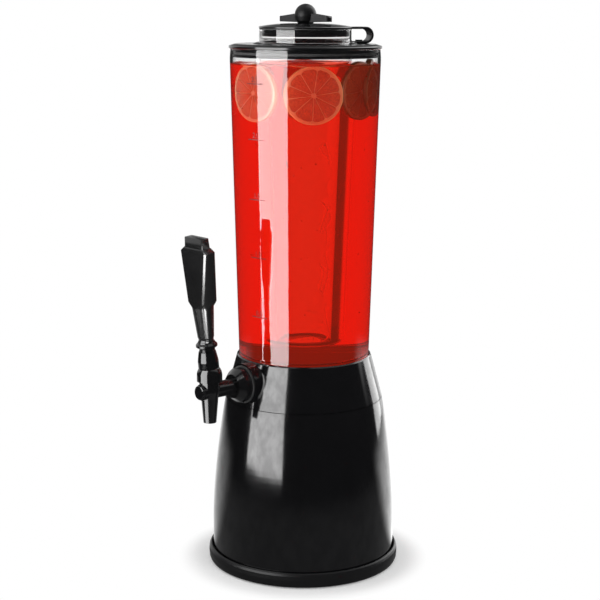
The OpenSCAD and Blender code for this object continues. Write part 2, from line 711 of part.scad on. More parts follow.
// One level of the grip: a flat bar with its four edges chamfered
module grip_level(w, t, z, chamfer)
    translate([0, 0, z]) linear_extrude(height = over)
        polygon([for (at = [[1, -1], [1, 1], [-1, 1], [-1, -1]])
            let (flat_end = [at.x * (w / 2 - chamfer), at.y * t / 2],
                 side_end = [at.x * w / 2, at.y * (t / 2 - chamfer)])
            each (at.x * at.y < 0 ? [flat_end, side_end] : [side_end, flat_end])]);

module handle_grip() color(black)
    on_lever() difference() {
        union() {
            rotate_extrude() polygon([
                [0, ferrule_top], [6.6, ferrule_top], [6.6, ferrule_top + 1.2],
                [6.0, ferrule_top + 1.4], [6.0, ferrule_top + 2.2], [6.6, ferrule_top + 2.4],
                [6.6, rings_top], [neck_foot_r, rings_top + 0.3], [neck_top_r, neck_top],
                [0, neck_top]]);
            hull() {
                translate([0, 0, neck_top - over]) cylinder(r = neck_top_r, h = over, $fn = 32);
                grip_level(grip_foot_w, grip_foot_t, chamfer_top, edge_cut);
            }
            hull() {
                grip_level(grip_foot_w, grip_foot_t, chamfer_top, edge_cut);
                grip_level(grip_top_w, grip_top_t, grip_top, edge_cut);
            }
            hull() {
                grip_level(grip_top_w, grip_top_t, grip_top, edge_cut);
                grip_level(block_w + 2.4, block_t + 1.4, grip_top + shoulder_h, 1.2);
            }
            hull() {
                grip_level(block_w + 1.4, block_t + 0.4, grip_top + shoulder_h - over, 1.2);
                grip_level(block_w, block_t, grip_top + shoulder_h + block_h, 1.2);
            }
        }
        translate([0, 0, ferrule_top - cut])
            cylinder(r = stud_r + fit_gap, h = stud_top - ferrule_top + 2 * cut);
        translate([0, 0, insert_z]) cylinder(r = insert_r + fit_gap, h = insert_l + dome_gap);
    }

// Valve
module valve_plunger() color(steel)
    difference() {
        union() {
            intersection() {
                along_tap(chamber_r - run_gap, block_in, block_out);
                translate([-plunger_half_w, -block_out - cut, tap_z - 2 * chamber_r])
                    cube([2 * plunger_half_w, block_out - block_in + 2 * cut,
                          2 * chamber_r + plunger_half_w]);
            }
            along_tap(plunger_rod_r, washer_at - plunger_head_t / 2, block_in + block_wall / 2);
            along_tap(valve_seat_r - 0.2, washer_at - plunger_head_t, washer_at);
        }
        translate([-tip_r - tip_side, -tip_at - tip_r - tip_play, tap_z - 2 * chamber_r])
            cube([2 * (tip_r + tip_side), 2 * (tip_r + tip_play), 4 * chamber_r]);
    }

module valve_washer() color(silicone)
    tap_ring(chamber_r - 0.3, plunger_rod_r + fit_gap, washer_at, valve_seat_at);

anti_slip_disc();
base_tray();
tray_screws();
lower_bell();
collar_screws();
upper_bell();
reservoir_cup();
seat_gasket();
clear_tube();
lid();
lid_seal();
strap_pin();
ice_tube();
ice_tube_seal();
cap_strap();
ice_cap();
cap_seal();
cap_knob();
knob_screw();
tap_shank();
outer_washer();
inner_washer();
inner_lock_nut();
coupling_nut();
coupling_washer();
tap_body();
front_plug();
plug_seal();
bonnet_nut();
ball_seat();
handle_lever();
ferrule();
handle_insert();
handle_grip();
valve_plunger();
valve_washer();
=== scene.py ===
"""Drinks tower dispenser: finishes, drink, fruit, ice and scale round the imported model."""

import json
import math
import random

import bmesh
import bpy
from mathutils import Matrix, Vector, noise


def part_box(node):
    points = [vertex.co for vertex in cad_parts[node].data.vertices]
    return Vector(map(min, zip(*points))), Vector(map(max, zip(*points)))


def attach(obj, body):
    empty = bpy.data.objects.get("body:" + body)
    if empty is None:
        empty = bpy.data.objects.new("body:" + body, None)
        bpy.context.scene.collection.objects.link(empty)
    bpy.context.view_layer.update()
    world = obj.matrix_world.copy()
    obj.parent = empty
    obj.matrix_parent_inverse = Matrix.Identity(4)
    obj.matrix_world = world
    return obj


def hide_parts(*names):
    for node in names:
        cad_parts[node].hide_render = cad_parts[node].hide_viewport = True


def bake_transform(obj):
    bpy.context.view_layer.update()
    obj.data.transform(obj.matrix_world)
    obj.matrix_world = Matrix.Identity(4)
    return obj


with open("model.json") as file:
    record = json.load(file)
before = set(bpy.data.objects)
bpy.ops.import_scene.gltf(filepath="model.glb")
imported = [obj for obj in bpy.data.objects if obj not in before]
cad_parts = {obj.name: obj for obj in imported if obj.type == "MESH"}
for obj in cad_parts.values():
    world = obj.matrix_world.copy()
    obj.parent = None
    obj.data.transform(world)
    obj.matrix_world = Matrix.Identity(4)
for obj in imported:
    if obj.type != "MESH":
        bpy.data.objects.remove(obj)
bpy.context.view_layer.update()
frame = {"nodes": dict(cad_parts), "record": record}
BOX = {name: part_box(name) for name in frame["nodes"]}

bl_info = {
    "name": "Drinks Tower",
    "version": (1, 0, 0),
    "blender": (4, 5, 0),
    "location": "View3D > Sidebar > Tower",
    "description": "Dresses a drinks tower: mouldings, clear tubes, drink, fruit, ice and scale",
    "category": "Object",
}

MM = 0.001
ROUND = 2 * math.pi
WHITE = (1.0, 1.0, 1.0, 1.0)
# the ice tube's shoulder: how far it ends below the tube's rim, and its height
SHOULDER_DROP = 13 * MM
SHOULDER_H = 10 * MM
SLOT_OF = {part["node"]: part["material_slot"] for part in frame["record"]["subparts"]}


# -------- sizes and colours

def length(label, description, default):
    """A property that holds a length, its default in mm."""
    return bpy.props.FloatProperty(name=label, description=description, default=default * MM,
                                   min=0.0, precision=5, unit="LENGTH", subtype="DISTANCE")


def colour(label, description, default):
    """A property that holds a linear colour."""
    return bpy.props.FloatVectorProperty(name=label, description=description, default=default,
                                         size=3, min=0.0, max=1.0, subtype="COLOR")


def amount(label, description, default, high=1.0):
    """A property that holds a plain number."""
    return bpy.props.FloatProperty(name=label, description=description, default=default,
                                   min=0.0, max=high)


def angle(label, description, default):
    """A property that holds an angle, its default in degrees."""
    return bpy.props.FloatProperty(name=label, description=description, unit="ROTATION",
                                   default=math.radians(default), subtype="ANGLE")


class TowerSizes(bpy.types.PropertyGroup):
    """Sizes of the clear parts and of what is in them"""

    tube_foot_r: length("Tube foot radius", "Outer radius of the clear tube at its foot", 58.0)
    tube_wall: length("Tube wall", "Wall of the clear tube", 2.5)
    spigot_r: length("Spigot radius", "Outer radius of the spigot under the clear tube", 52.0)
    spigot_wall: length("Spigot wall", "Wall of that spigot", 2.0)
    cup_wall: length("Cup floor", "Thickness of the reservoir cup's floor", 2.5)
    ice_foot_r: length("Ice tube foot", "Outer radius of the ice tube at its closed end", 25.9)
    ice_neck_r: length("Ice tube neck", "Outer radius of the ice tube under its shoulder", 33.4)
    mouth_r: length("Mouth radius", "Outer radius of the ice tube's mouth", 40.0)
    ice_wall: length("Ice tube wall", "Wall of the ice tube", 1.6)
    drink_level: length("Drink level", "Height of the drink's surface", 447.0)
    slice_r: length("Slice radius", "Radius of a citrus slice", 24.5)
    slice_t: length("Slice thickness", "Thickness of a citrus slice", 4.6)
    number_h: length("Number height", "Height of the printed numbers", 4.2)
    ice_edge: length("Ice cube", "Edge of an ice cube", 33.0)
    ice_gap: length("Ice gap", "Gap between the ice and its tube", 0.8)
    edge_r: length("Grip edge", "Rounding of the grip's edges", 1.3)


class TowerColours(bpy.types.PropertyGroup):
    """Colours of the mouldings, the drink and the fruit"""

    bell: colour("Bell", "High gloss black of the bell", (0.0045, 0.0045, 0.005))
    fittings: colour("Fittings", "Black of the lid and the tap", (0.005, 0.005, 0.0055))
    grip: colour("Grip", "Satin black of the handle", (0.009, 0.009, 0.0095))
    tray: colour("Tray", "Satin black of the tray", (0.008, 0.008, 0.0085))
    drink: colour("Drink", "What a centimetre of the drink lets through", (0.965, 0.27, 0.10))
    painted_glow_tint: colour("Haze", "Faint colour of the fruit pulp in the drink", (1.0, 0.27, 0.11))
    # painted light: tint of a glow that the drink gives off, standing in for light scattered in it
    ink: colour("Ink", "Ink of the printed scale", (0.10, 0.004, 0.002))


class TowerStage(bpy.types.PropertyGroup):
    """Camera and studio light"""

    camera_at: bpy.props.FloatVectorProperty(
        name="Camera", description="Place of the camera", size=3, subtype="XYZ", unit="LENGTH",
        default=(0.9849, -0.84381, 0.49894))
    heading: angle("Heading", "Turn of the camera round the vertical", 49.576)
    dip: angle("Dip", "How far the camera looks down", 11.335)
    roll: angle("Roll", "Roll of the camera", 0.252)
    lens: bpy.props.FloatProperty(
        name="Lens", description="Focal length on a 36 mm sensor", unit="CAMERA", default=88.876)
    softbox: amount("Softbox", "Brightness of the softbox in the reflections", 11.0, 50.0)
    ambient: amount("Ambient", "Level of the even light on the object", 0.62, 2.0)
    studio: amount("Studio", "Brightness of the unlit studio in the reflections", 0.03)
    panel: amount("Panel", "Brightness of the rim panel in the reflections", 3.5, 50.0)
    panel_turn: angle("Panel turn", "Turn of the rim panel from straight behind the tower", 50.0)


# -------- shader writing

class Signal:
    """A number on a socket: arithmetic on it adds Math nodes to the same sheet."""

    def __init__(self, sheet, socket):
        self.sheet = sheet
        self.socket = socket

    def __add__(self, other):
        return self.sheet.math("ADD", self, other)

    def __sub__(self, other):
        return self.sheet.math("SUBTRACT", self, other)

    def __rsub__(self, other):
        return self.sheet.math("SUBTRACT", other, self)

    def __mul__(self, other):
        return self.sheet.math("MULTIPLY", self, other)

    def __gt__(self, other):
        return self.sheet.math("GREATER_THAN", self, other)

    def __abs__(self):
        return self.sheet.math("ABSOLUTE", self)

    def between(self, low, high):
        """0 below low, 1 above high, with a smooth rise between them."""
        return self.sheet.add("ShaderNodeMapRange", {"interpolation_type": "SMOOTHSTEP"},
                              {"Value": self, "From Min": low, "From Max": high})

    def other(self, output):
        """Another output of the same node."""
        return Signal(self.sheet, self.socket.node.outputs[output])


class NodeSheet:
    """The node tree of a material or a world, written from one function."""

    def __init__(self, owner):
        owner.use_nodes = True
        self.owner = owner
        self.tree = owner.node_tree
        self.tree.nodes.clear()

    def add(self, kind, settings=None, values=None, out=0):
        """Adds a node: its settings first, then the values or links of its sockets."""
        node = self.tree.nodes.new(kind)
        for name, value in (settings or {}).items():
            setattr(node, name, value)
        for key, value in (values or {}).items():
            if isinstance(value, Signal):
                self.tree.links.new(value.socket, node.inputs[key])
            else:
                node.inputs[key].default_value = value
        return Signal(self, node.outputs[out])

    def end(self, kind="ShaderNodeOutputMaterial", **links):
        """Ends the tree in its output node, and hands over what it belongs to."""
        node = self.tree.nodes.new(kind)
        for key, value in links.items():
            self.tree.links.new(value.socket, node.inputs[key])
        return self.owner

    def math(self, operation, *values):
        return self.add("ShaderNodeMath", {"operation": operation}, dict(enumerate(values)))

    def vector(self, operation, *values, out=0):
        return self.add("ShaderNodeVectorMath", {"operation": operation},
                        dict(enumerate(values)), out)

    def blend_colours(self, factor, first, second):
        """A colour between two colours, by a factor."""
        return self.add("ShaderNodeMix", {"data_type": "RGBA"},
                        {0: factor, 6: paint(first), 7: paint(second)}, out=2)

    def mottle(self, pattern, tint, dark, pale=1.0):
        """A tint that a pattern takes from dark to pale times its own brightness."""
        return self.blend_colours(pattern, [dark * c for c in tint], [pale * c for c in tint])

    def place(self, stretch=(1, 1, 1)):
        """Object coordinates, stretched."""
        at = self.add("ShaderNodeTexCoord", out=3)
        return self.add("ShaderNodeMapping", {}, {"Vector": at, "Scale": stretch})

    def noise(self, at, scale, detail=2.0, roughness=0.5):
        return self.add("ShaderNodeTexNoise", {}, {"Vector": at, "Scale": scale, "Detail": detail,
                                                   "Roughness": roughness})

    def bump(self, height, distance):
        return self.add("ShaderNodeBump", {}, {"Strength": 1.0, "Distance": distance,
                                               "Height": height})

    def light(self, level):
        """White light of a level."""
        return self.add("ShaderNodeEmission", {}, {"Color": WHITE, "Strength": level})

    def principled(self, **sockets):
        named = {key.replace("_", " "): value for key, value in sockets.items()}
        return self.add("ShaderNodeBsdfPrincipled", {}, named)

    def mix(self, factor, first, second):
        return self.add("ShaderNodeMixShader", {}, {0: factor, 1: first, 2: second})


def paint(tint):
    """A colour as the four numbers that a socket takes."""
    return (*tint, 1.0)


def finish_sheet(name):
    """The sheet of a new material."""
    return NodeSheet(bpy.data.materials.new(name))


# -------- finishes
# A noise scale is in cells per metre, a bump's distance is in metres.

def moulded(name, tint, gloss, spread, waves, grain, specular, stretch=(1, 1, 1), bloom=0.0):
    """Moulded plastic: uneven gloss, sink waves and grain, and a patchy polish on top."""
    sheet = finish_sheet(name)
    at = sheet.place(stretch)
    clouds = sheet.noise(at, 38.0, 3.0)
    fine = sheet.noise(at, 1400.0)
    height = sheet.noise(at, 70.0) * waves + fine * grain
    sockets = {"Base_Color": sheet.mottle(clouds, tint, 0.8, 1.25),
               "Roughness": clouds * spread + fine * (0.5 * spread) + (gloss - 0.75 * spread),
               "Specular_IOR_Level": specular, "Normal": sheet.bump(height, MM)}
    if bloom:
        sockets["Coat_Weight"] = sheet.noise(at, 120.0, 4.0, 0.7).between(0.35, 0.65) * bloom
        sockets["Coat_Roughness"] = 0.12
    return sheet.end(Surface=sheet.principled(**sockets))


def clear(name, ior, absorbs=None):
    """Clear plastic, ice or drink, which casts no shadow of its own."""
    sheet = finish_sheet(name)
    body = sheet.principled(Base_Color=WHITE, Roughness=0.0, IOR=ior, Transmission_Weight=1.0)
    passing = sheet.add("ShaderNodeBsdfTransparent", {}, {"Color": WHITE})
    shadow_ray = sheet.add("ShaderNodeLightPath", out=1)
    links = {"Surface": sheet.mix(shadow_ray, body, passing)}
    if absorbs:
        tone, density, painted_glow_tint, glow = absorbs
        dye = sheet.add("ShaderNodeVolumeAbsorption", {},
                        {"Color": paint(tone), "Density": density})
        # painted light: the drink glows from within, in place of light scattered in it
        painted_scatter_glow = sheet.add("ShaderNodeEmission", {}, {"Color": paint(painted_glow_tint), "Strength": glow})
        links["Volume"] = sheet.add("ShaderNodeAddShader", {}, {0: dye, 1: painted_scatter_glow})
    return sheet.end(**links)


def rubber(name, tint, gloss=0.6):
    """Matt rubber or silicone with a fine bloom."""
    sheet = finish_sheet(name)
    bloom = sheet.noise(sheet.place(), 220.0, 4.0)
    return sheet.end(Surface=sheet.principled(
        Base_Color=sheet.mottle(bloom, tint, 0.85, 1.15), Roughness=bloom * 0.2 + (gloss - 0.1),
        Normal=sheet.bump(bloom, 0.06 * MM)))


def metal(name, tint, gloss=0.3):
    """Turned metal with fine tool marks."""
    sheet = finish_sheet(name)
    marks = sheet.noise(sheet.place((1, 1, 12)), 500.0)
    return sheet.end(Surface=sheet.principled(
        Base_Color=sheet.mottle(marks, tint, 0.85), Metallic=1.0,
        Roughness=marks * 0.15 + (gloss - 0.07), Normal=sheet.bump(marks, 0.02 * MM)))


def ink(name, tint):
    """Screen-printed ink, a little thin in places."""
    sheet = finish_sheet(name)
    thin = sheet.noise(sheet.place(), 900.0, 3.0).between(0.25, 0.6)
    return sheet.end(Surface=sheet.principled(
        Base_Color=paint(tint), Roughness=0.4, Alpha=thin * 0.35 + 0.65))


def flesh(name, pale, deep):
    """Citrus flesh: juice cells drawn out from the middle of the slice."""
    sheet = finish_sheet(name)
    at = sheet.add("ShaderNodeAttribute", {"attribute_name": "on_slice"}, out=1)
    across = sheet.add("ShaderNodeSeparateXYZ", {}, {0: at})
    along = across.other(1)
    turn = sheet.math("ARCTAN2", along, across)
    reach = sheet.math("SQRT", across * across + along * along)
    polar = sheet.add("ShaderNodeCombineXYZ", {}, {0: turn * 9.0, 1: reach * 260.0})
    cells = sheet.noise(polar, 1.6, 3.0, 0.6)
    return sheet.end(Surface=sheet.principled(
        Base_Color=sheet.blend_colours(cells.between(0.3, 0.7), deep, pale), Roughness=0.25,
        Subsurface_Weight=0.3, Subsurface_Scale=0.004, Normal=sheet.bump(cells, 0.5 * MM)))


def peel(name, tint, pores):
    """Rind or pith with small pores of a depth."""
    sheet = finish_sheet(name)
    at = sheet.place()
    return sheet.end(Surface=sheet.principled(
        Base_Color=sheet.mottle(sheet.noise(at, 160.0), tint, 0.82), Roughness=0.35,
        Subsurface_Weight=0.2, Subsurface_Scale=0.003,
        Normal=sheet.bump(sheet.noise(at, 900.0), pores)))


def bubble():
    """The dark red glint of a bubble in the drink."""
    sheet = finish_sheet("bubble")
    shade = sheet.blend_colours(sheet.noise(sheet.place(), 60.0), (0.25, 0.0, 0.0),
                                (0.6, 0.03, 0.01))
    return sheet.end(Surface=sheet.principled(Base_Color=shade, Roughness=0.05))


def make_finishes():
    """Makes the finish of each material slot of the record, and the knob's own."""
    tones = bpy.context.scene.tower_colours
    # colour, gloss, its spread, height in mm of sink waves and of grain, specular level
    for slot, look in {
            "base_black": (tones.tray, 0.32, 0.08, 0.03, 0.010, 0.11),
            "lid_black": (tones.fittings, 0.15, 0.06, 0.04, 0.003, 0.40),
            "tap_black": (tones.fittings, 0.12, 0.05, 0.03, 0.002, 0.45),
            "handle_black": (tones.grip, 0.20, 0.06, 0.03, 0.010, 0.40),
            "strap_black": (tones.fittings, 0.30, 0.08, 0.03, 0.006, 0.40),
            "inner_black": (tones.tray, 0.45, 0.08, 0.02, 0.010, 0.40),
            "knob_black": (tones.fittings, 0.45, 0.08, 0.03, 0.006, 0.15)}.items():
        moulded(slot, *look)
    moulded("bell_black", tones.bell, 0.10, 0.05, 0.05, 0.002, 0.28, stretch=(1, 1, 0.5),
            bloom=0.2)
    clear("clear_plastic", 1.49)
    rubber("rubber", (0.012, 0.012, 0.012))
    rubber("silicone", (0.62, 0.64, 0.65), 0.45)
    metal("screw_steel", (0.6, 0.6, 0.62))
    metal("brass", (0.72, 0.52, 0.24))


# -------- mesh helpers

def spread_points(outline, fillets, steps=5):
    """An outline of (radius, height) corners with some corners turned to arcs."""
    points = []
    for index, corner in enumerate(outline):
        radius = fillets.get(index)
        if radius is None:
            points.append(corner)
            continue
        here = Vector(corner)
        before = (Vector(outline[index - 1]) - here).normalized()
        after = (Vector(outline[(index + 1) % len(outline)]) - here).normalized()
        half = before.angle(after) / 2
        reach = radius / math.tan(half)
        centre = here + (before + after).normalized() * (radius / math.sin(half))
        start = here + before * reach - centre
        swing = start.angle_signed(here + after * reach - centre)
        points += [tuple(centre + Matrix.Rotation(-swing * step / steps, 2) @ start)
                   for step in range(steps + 1)]
    return points


def lathe(outline, steps=160, closed=False):
    """A bmesh spun from an outline of (radius, height) points; ends on the axis become poles."""
    bm = bmesh.new()
    verts = [bm.verts.new((radius, 0.0, height)) for radius, height in outline]
    edges = [bm.edges.new(pair) for pair in zip(verts, verts[1:])]
    if closed:
        edges.append(bm.edges.new((verts[-1], verts[0])))
    bmesh.ops.spin(bm, geom=verts + edges, cent=(0, 0, 0), axis=(0, 0, 1), angle=ROUND,
                   steps=steps, use_merge=True)
    tidy(bm)
    return bm


def tidy(bm):
    """Merges doubled points and turns all faces outwards."""
    bmesh.ops.remove_doubles(bm, verts=bm.verts, dist=1e-6)
    bmesh.ops.recalc_face_normals(bm, faces=bm.faces)


def round_off(bm, geom, offset, segments, affect="EDGES", clamp_overlap=False):
    """Bevels edges or corners round."""
    bmesh.ops.bevel(bm, geom=geom, offset=offset, offset_type="OFFSET", segments=segments,
                    profile=0.5, affect=affect, material=-1, clamp_overlap=clamp_overlap)


def mesh_from(name, bm):
    """Empties a bmesh into a new mesh."""
    mesh = bpy.data.meshes.new(name)
    bm.to_mesh(mesh)
    bm.free()
    return mesh


def show(name, data):
    """Puts a new object into the scene."""
    shown = bpy.data.objects.new(name, data)
    bpy.context.scene.collection.objects.link(shown)
    return shown


def place_piece(name, bm, body, slot=None, materials=(), crease=60.0, stands_for=None,
                flat=False):
    """Turns a finished bmesh into a piece that rides on a body; flat keeps large faces true."""
    mesh = mesh_from(name, bm)
    mesh.shade_smooth()
    if crease:
        mesh.set_sharp_from_angle(angle=math.radians(crease))
    for material in materials or [bpy.data.materials[slot]]:
        mesh.materials.append(material)
    piece = show(name, mesh)
    if body:
        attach(piece, body)
    if stands_for:
        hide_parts(stands_for)
    if flat:
        true_faces = piece.modifiers.new("true_faces", "WEIGHTED_NORMAL")
        true_faces.weight = 90
        true_faces.keep_sharp = True
    return piece


def towards(azimuth, reach, height):
    """A point round the tower: azimuth 0 is the front, 90 the right-hand side."""
    return Vector((reach * math.sin(azimuth), -reach * math.cos(azimuth), height))


def wall_line():
    """Foot and slope of the clear tube's outer wall: (height, radius, radius gained per metre)."""
    sizes = bpy.context.scene.tower_sizes
    foot = BOX["seat_gasket"][1].z
    low, high = BOX["clear_tube"]
    return foot, sizes.tube_foot_r, (high.x - sizes.tube_foot_r) / (high.z - foot)


def tube_radius(height):
    """Outer radius of the clear tube at a height."""
    foot, radius, slope = wall_line()
    return radius + slope * (height - foot)


def ice_outline(inset):
    """Outer outline of the ice tube from its closed end to its shoulder, drawn in by inset."""
    sizes = bpy.context.scene.tower_sizes
    foot = BOX["ice_tube"][0].z + inset
    shoulder = BOX["clear_tube"][1].z - SHOULDER_DROP
    return [(0.0, foot), (sizes.ice_foot_r - inset, foot),
            (sizes.ice_neck_r - inset, shoulder - SHOULDER_H), (sizes.mouth_r - inset, shoulder)]


# -------- pieces

class TOWER_OT_finishes(bpy.types.Operator):
    """Gives every construction node the finish of its material slot"""

    bl_idname = "tower.finishes"
    bl_label = "Finish Mouldings"

    def execute(self, context):
        for plain in list(bpy.data.materials):
            bpy.data.materials.remove(plain)
        make_finishes()
        for name, node in frame["nodes"].items():
            look = "knob_black" if name == "cap_knob" else SLOT_OF[name]
            node.data.materials.clear()
            node.data.materials.append(bpy.data.materials[look])
        return {"FINISHED"}


class TOWER_OT_grip(bpy.types.Operator):
    """Rounds the edges of the handle's grip, as its mould does"""

    bl_idname = "tower.grip"
    bl_label = "Round Grip"

    # share of the grip's height at which its block begins
    BLOCK_FROM = 0.35
    # faces under this angle are merged, edges over the second one are rounded
    FLAT = math.radians(2)
    SHARP = math.radians(24)

    def execute(self, context):
        bm = bmesh.new()
        bm.from_mesh(frame["nodes"]["handle_grip"].data)
        tidy(bm)
        bmesh.ops.dissolve_limit(bm, angle_limit=self.FLAT, verts=bm.verts, edges=bm.edges)
        low, high = BOX["handle_grip"]
        block_z = low.z + self.BLOCK_FROM * (high.z - low.z)
        sharp = [edge for edge in bm.edges
                 if edge.is_manifold and min(vert.co.z for vert in edge.verts) > block_z
                 and edge.calc_face_angle() > self.SHARP]
        round_off(bm, sharp, context.scene.tower_sizes.edge_r, 3, clamp_overlap=True)
        tidy(bm)
        place_piece("grip_moulding", bm, "lever", "handle_black", stands_for="handle_grip",
                    flat=True)
        return {"FINISHED"}


class TOWER_OT_clear_tubes(bpy.types.Operator):
    """Makes the clear tube and the ice tube as fine turned walls"""

    bl_idname = "tower.clear_tubes"
    bl_label = "Make Clear Tubes"

    # corner of the outline: its rounding in mm
    TUBE_ROUNDS = {0: 0.4, 1: 0.7, 2: 0.5, 3: 2.0, 4: 0.8, 5: 0.4, 6: 0.4}
    ICE_ROUNDS = {1: 5.0, 2: 9.0, 3: 5.0, 12: 0.5, 13: 0.5, 14: 6.0, 15: 8.0, 16: 3.6}
    # faces of the ice tube's flange, in mm below the clear tube's rim
    FLANGE = (2.5, 1.0)
    # the bead that holds it in the lid: (mm out, mm above the lid)
    BEAD = ((0.0, 0.1), (0.8, 0.3), (0.8, 0.9), (0.0, 1.5))
    SHOULDER_STEP = 0.6 * MM

    def execute(self, context):
        for name, outline, rounds, steps, closed, body, node in (
                ("clear_tube_wall", self.tube(), self.TUBE_ROUNDS, 192, True, "tower",
                 "clear_tube"),
                ("ice_tube_wall", self.ice_tube(), self.ICE_ROUNDS, 160, False, "lid",
                 "ice_tube")):
            fillets = {corner: radius * MM for corner, radius in rounds.items()}
            place_piece(name, lathe(spread_points(outline, fillets), steps, closed), body,
                        "clear_plastic", stands_for=node, flat=True)
        return {"FINISHED"}

    @staticmethod
    def tube():
        """Outline of the clear tube with its spigot."""
        sizes = bpy.context.scene.tower_sizes
        low, high = BOX["clear_tube"]
        foot, foot_r, _ = wall_line()
        wall = sizes.tube_wall
        inner = sizes.spigot_r - sizes.spigot_wall
        floor = foot + wall
        return [(foot_r, foot), (high.x, high.z), (high.x - wall, high.z),
                (tube_radius(floor) - wall, floor), (inner, floor), (inner, low.z),
                (sizes.spigot_r, low.z), (sizes.spigot_r, foot)]

    def ice_tube(self):
        """Outline of the ice tube with its shoulder, flange, bead and mouth."""
        sizes = bpy.context.scene.tower_sizes
        low, high = BOX["ice_tube"]
        mouth, thin = sizes.mouth_r, sizes.ice_wall
        under, over = (BOX["clear_tube"][1].z - drop * MM for drop in self.FLANGE)
        lid_top = BOX["lid"][1].z
        outer = ice_outline(0.0)
        return outer + [
            (mouth, under), (high.x, under), (high.x, over), (mouth, over),
            *((mouth + out * MM, lid_top + rise * MM) for out, rise in self.BEAD),
            (mouth, high.z), (mouth - thin, high.z),
            (mouth - thin, outer[3][1] + self.SHOULDER_STEP), (outer[2][0] - thin, outer[2][1]),
            (outer[1][0] - thin, low.z + thin), (0.0, low.z + thin)]


class TOWER_OT_collar(bpy.types.Operator):
    """Raises the lid's small collar round the mouth of the ice tube"""

    bl_idname = "tower.collar"
    bl_label = "Raise Collar"

    # radius and height above the lid, in mm
    OUTLINE = ((41.1, -0.3), (41.1, 1.0), (41.4, 1.3), (42.4, 1.3), (43.4, 1.0), (45.4, 0.3),
               (45.4, -0.3))

    def execute(self, context):
        lid_top = BOX["lid"][1].z
        outline = [(radius * MM, lid_top + rise * MM) for radius, rise in self.OUTLINE]
        place_piece("lid_collar", lathe(outline, 160, closed=True), "lid", "lid_black")
        return {"FINISHED"}


class TOWER_OT_drink(bpy.types.Operator):
    """Fills the tube and the reservoir with the drink, round the ice tube"""

    bl_idname = "tower.drink"
    bl_label = "Make Drink"

    OVERLAP = 0.2 * MM
    # the surface climbs this high at a wall, over these widths at the tube and at the ice tube
    CLIMB = 1.6 * MM
    TUBE_CURL = 5 * MM
    ICE_CURL = 4 * MM
    # density of the dye per metre, and the strength of the painted glow: light given off inside the
    # drink in place of light scattered in it
    DYE = 100.0
    PAINTED_SCATTER_GLOW = 2.6

    def execute(self, context):
        sizes = context.scene.tower_sizes
        tones = context.scene.tower_colours
        overlap = self.OVERLAP
        cup_floor = BOX["reservoir_cup"][0].z + sizes.cup_wall
        spigot_z = BOX["clear_tube"][0].z
        floor = wall_line()[0] + sizes.tube_wall
        level = sizes.drink_level
        inner = sizes.spigot_r - sizes.spigot_wall + overlap

        def wall_at(height):
            return tube_radius(height) - sizes.tube_wall + overlap

        outline = [(0.0, cup_floor), (sizes.spigot_r, cup_floor), (sizes.spigot_r, spigot_z),
                   (inner, spigot_z), (inner, floor - overlap / 2),
                   (wall_at(floor), floor - overlap / 2), (wall_at(level), level + self.CLIMB)]
        outline += [(wall_at(level) - self.TUBE_CURL * t, level + self.CLIMB * (1 - t) ** 3)
                    for t in (0.08, 0.2, 0.35, 0.55, 0.8, 1.0)]
        hollow = ice_outline(overlap)[::-1]
        outline += [(hollow[0][0] + self.ICE_CURL * (1 - t), level + self.CLIMB * t ** 3)
                    for t in (0.0, 0.3, 0.55, 0.75, 0.9, 1.0)]
        start = len(outline)
        outline += hollow
        rounds = {start: 5 * MM, start + 1: 9 * MM, start + 2: 5 * MM - overlap, 5: 1.8 * MM}
        drink = clear("drink", 1.333, absorbs=(tones.drink, self.DYE, tones.painted_glow_tint, self.PAINTED_SCATTER_GLOW))
        place_piece("drink", lathe(spread_points(outline, rounds), 192), "tower",
                    materials=[drink], flat=True)
        return {"FINISHED"}


